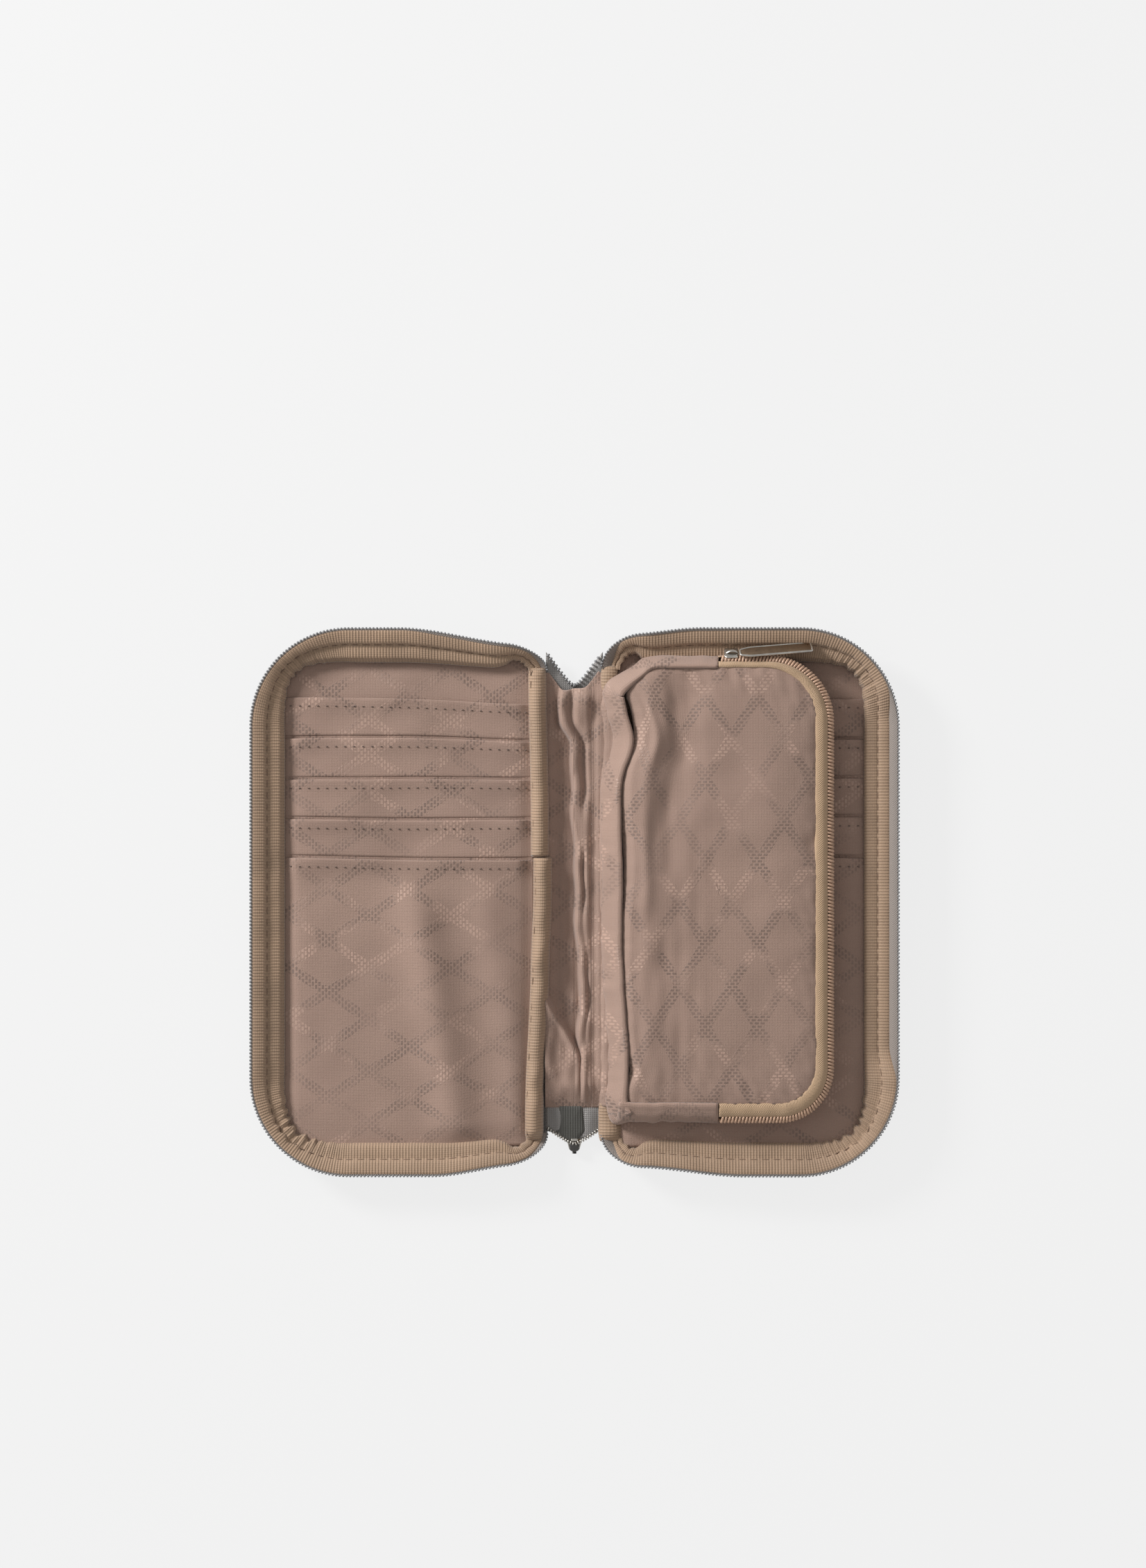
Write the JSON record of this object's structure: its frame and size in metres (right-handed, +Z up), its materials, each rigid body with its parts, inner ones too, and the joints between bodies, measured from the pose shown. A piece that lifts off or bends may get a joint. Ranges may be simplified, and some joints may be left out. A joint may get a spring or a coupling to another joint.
{
  "type": "zip-around travel wallet",
  "caption": "Zip-around fabric travel wallet lying open: two padded covers on a soft spine, card slots on both sides and a zipped inner coin pouch.",
  "frame": {"origin": "on the table under the middle of the open wallet (centre of the bottom of its box)", "axes": "+X from the spine to the right cover's fore edge, +Y towards the head, +Z up off the table"},
  "size_m": [0.2364, 0.2, 0.0153],
  "materials": {
    "shell_fabric": "satin silver-grey coated fabric",
    "foam": "white foam padding, hidden",
    "lining_fabric": "mauve-taupe jacquard lining with a dotted diamond weave",
    "binding_grosgrain": "golden-tan grosgrain tape",
    "zip_tape_grey": "grey woven zip tape",
    "zip_coil_grey": "grey nylon coil",
    "zip_tab_dark": "dark grey woven zip end",
    "zip_tape_tan": "tan woven zip tape",
    "zip_coil_brown": "brown nylon coil",
    "slider_metal": "polished nickel",
    "puller_metal": "antique brass"
  },
  "bodies": {
    "spine": {"spine_shell": "shell_fabric", "spine_lining": "lining_fabric", "main_zip_end_tab": "zip_tab_dark", "main_coil_head_end": "zip_coil_grey", "left_coil_tail_end": "zip_coil_grey", "right_coil_tail_end": "zip_coil_grey", "main_zip_stop": "slider_metal"},
    "left_cover": {"left_outer_shell": "shell_fabric", "left_stiffener": "foam", "left_lining": "lining_fabric", "left_edge_binding": "binding_grosgrain", "left_main_zip_tape": "zip_tape_grey", "left_main_zip_coil": "zip_coil_grey", "left_front_pocket": "lining_fabric", "left_card_slot_1": "lining_fabric", "left_card_slot_2": "lining_fabric", "left_card_slot_3": "lining_fabric", "left_card_slot_4": "lining_fabric", "left_slot_binding": "binding_grosgrain", "left_pocket_binding": "binding_grosgrain"},
    "right_cover": {"right_outer_shell": "shell_fabric", "right_stiffener": "foam", "right_lining": "lining_fabric", "right_edge_binding": "binding_grosgrain", "right_main_zip_tape": "zip_tape_grey", "right_main_zip_coil": "zip_coil_grey", "right_front_pocket": "lining_fabric", "right_card_slot_1": "lining_fabric", "right_card_slot_2": "lining_fabric", "right_card_slot_3": "lining_fabric", "right_card_slot_4": "lining_fabric", "right_slot_binding": "binding_grosgrain", "pouch_seam_tape": "lining_fabric"},
    "pouch": {"pouch_back": "lining_fabric", "pouch_gusset": "lining_fabric", "pouch_lower_tape": "zip_tape_tan", "pouch_lower_coil": "zip_coil_brown", "pouch_upper_tape": "zip_tape_tan", "pouch_upper_coil": "zip_coil_brown", "pouch_front": "lining_fabric"},
    "pouch_flap": {"pouch_flap": "lining_fabric", "flap_zip_tape": "zip_tape_tan", "flap_zip_coil": "zip_coil_brown"},
    "pouch_slider": {"pouch_slider": "slider_metal"},
    "pouch_puller": {"pouch_puller": "puller_metal"},
    "main_slider": {"main_slider": "slider_metal"},
    "main_puller": {"main_puller": "puller_metal"}
  },
  "joints": [
    {"name": "left_cover_fold", "type": "hinge", "parent": "spine", "child": "left_cover", "pos_m": [-0.0093, 0, 0.003], "axis": [0, 1, 0], "range_deg": [0, 90]},
    {"name": "right_cover_fold", "type": "hinge", "parent": "spine", "child": "right_cover", "pos_m": [0.0093, 0, 0.003], "axis": [0, -1, 0], "range_deg": [0, 90]},
    {"name": "pouch_lift", "type": "hinge", "parent": "right_cover", "child": "pouch", "pos_m": [0.0112, 0, 0.005], "axis": [0, 1, 0], "range_deg": [-110, 0]},
    {"name": "pouch_flap_open", "type": "hinge", "parent": "pouch", "child": "pouch_flap", "pos_m": [0.0625, 0, 0.01495], "axis": [0, 1, 0], "range_deg": [-50, 0]},
    {"name": "pouch_slider_travel", "type": "slide", "parent": "pouch", "child": "pouch_slider", "axis": [1, 0, 0], "range_m": [0, 0.005]},
    {"name": "pouch_puller_swing", "type": "hinge", "parent": "pouch_slider", "child": "pouch_puller", "pos_m": [0.0592, 0.09229, 0.01104], "axis": [0, 0.6428, -0.766], "range_deg": [-150, 0]},
    {"name": "main_slider_travel", "type": "slide", "parent": "spine", "child": "main_slider", "axis": [0, -1, 0], "range_m": [0, 0.003]},
    {"name": "main_puller_swing", "type": "hinge", "parent": "main_slider", "child": "main_puller", "pos_m": [0, -0.0906, 0.00045], "axis": [-1, 0, 0], "range_deg": [0, 170]}
  ]
}
